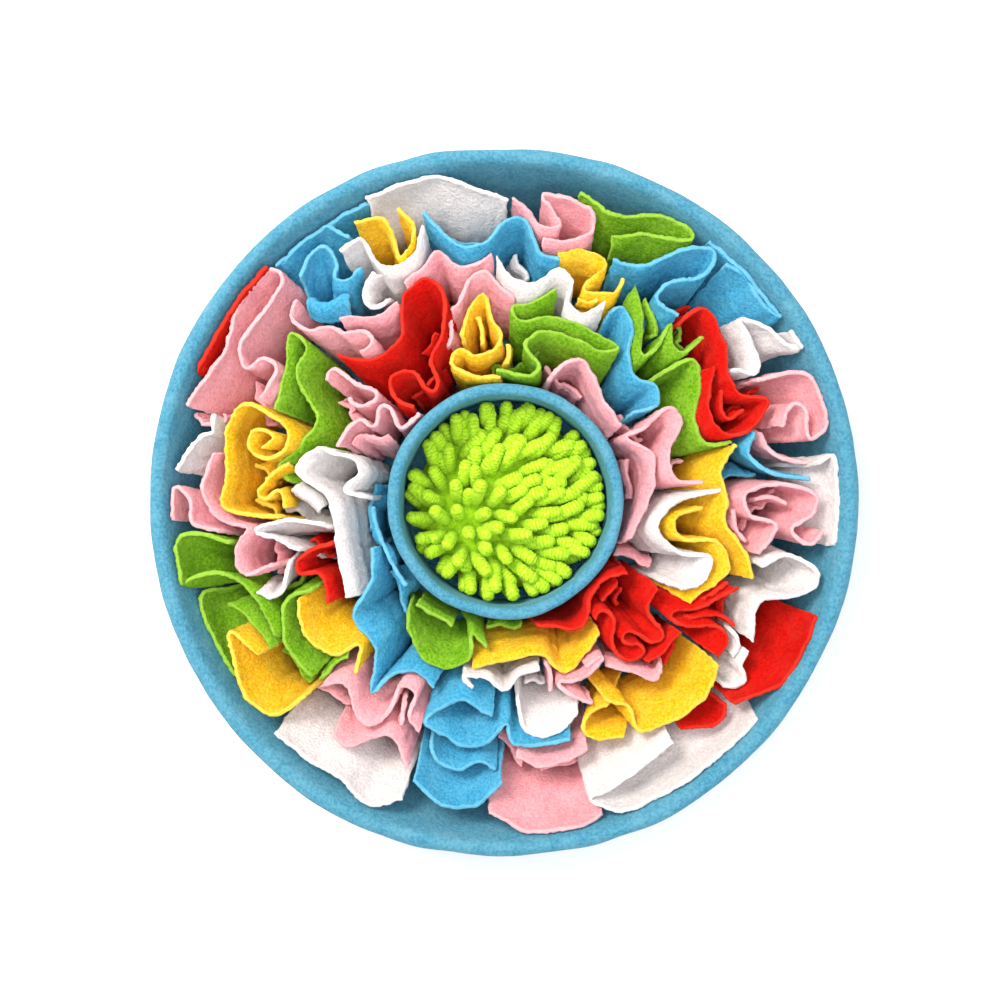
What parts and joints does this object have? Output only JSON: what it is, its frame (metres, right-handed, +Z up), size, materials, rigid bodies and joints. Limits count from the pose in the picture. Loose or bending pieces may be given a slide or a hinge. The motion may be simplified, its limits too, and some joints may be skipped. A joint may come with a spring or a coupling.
{
  "type": "snuffle mat",
  "caption": "Round padded tub with a flared soft wall, filled with ruffled fleece strips standing on edge round a central cup that holds a domed pad of soft fingers.",
  "frame": {"origin": "centre of the flat underside", "axes": "+Z up, out of the open top; +Y towards the top of the mat as it is seen from above"},
  "size_m": [0.4511, 0.4497, 0.0804],
  "materials": {
    "tub": "napped polyester fleece over padding",
    "chenille": "short chenille pile",
    "blue": "napped polyester fleece",
    "green": "napped polyester fleece",
    "yellow": "napped polyester fleece",
    "red": "napped polyester fleece",
    "pink": "napped polyester fleece",
    "white": "napped polyester fleece"
  },
  "bodies": {
    "root": {"chenille_pad": "chenille", "cup_wall": "tub", "strip_blue_n": "blue", "strip_blue_ne_1": "blue", "strip_blue_ne_2": "blue", "strip_blue_ne_3": "blue", "strip_blue_nw_1": "blue", "strip_blue_s_1": "blue", "strip_blue_s_2": "blue", "strip_blue_sw": "blue", "strip_green_n_1": "green", "strip_green_n_2": "green", "strip_green_ne_1": "green", "strip_green_ne_2": "green", "strip_green_nw": "green", "strip_green_s": "green", "strip_green_sw": "green", "strip_green_w": "green", "strip_pink_e_1": "pink", "strip_pink_e_2": "pink", "strip_pink_n_1": "pink", "strip_pink_n_3": "pink", "strip_pink_ne": "pink", "strip_pink_nw_1": "pink", "strip_pink_nw_2": "pink", "strip_pink_nw_3": "pink", "strip_pink_nw_4": "pink", "strip_pink_s_2": "pink", "strip_pink_sw": "pink", "strip_pink_w_1": "pink", "strip_red_ne": "red", "strip_red_nw_1": "red", "strip_red_nw_2": "red", "strip_red_s": "red", "strip_red_se_1": "red", "strip_red_se_2": "red", "strip_red_se_3": "red", "strip_white_e_1": "white", "strip_white_e_2": "white", "strip_white_e_3": "white", "strip_white_n_1": "white", "strip_white_n_2": "white", "strip_white_ne": "white", "strip_white_nw": "white", "strip_white_se": "white", "strip_white_sw": "white", "strip_white_w_1": "white", "strip_white_w_2": "white", "strip_yellow_e_1": "yellow", "strip_yellow_e_2": "yellow", "strip_yellow_n_1": "yellow", "strip_yellow_n_2": "yellow", "strip_yellow_nw": "yellow", "strip_yellow_s": "yellow", "strip_yellow_se": "yellow", "strip_yellow_sw_1": "yellow", "strip_yellow_sw_2": "yellow", "strip_yellow_w": "yellow", "tub_base": "tub", "tub_wall": "tub"}
  },
  "joints": []
}
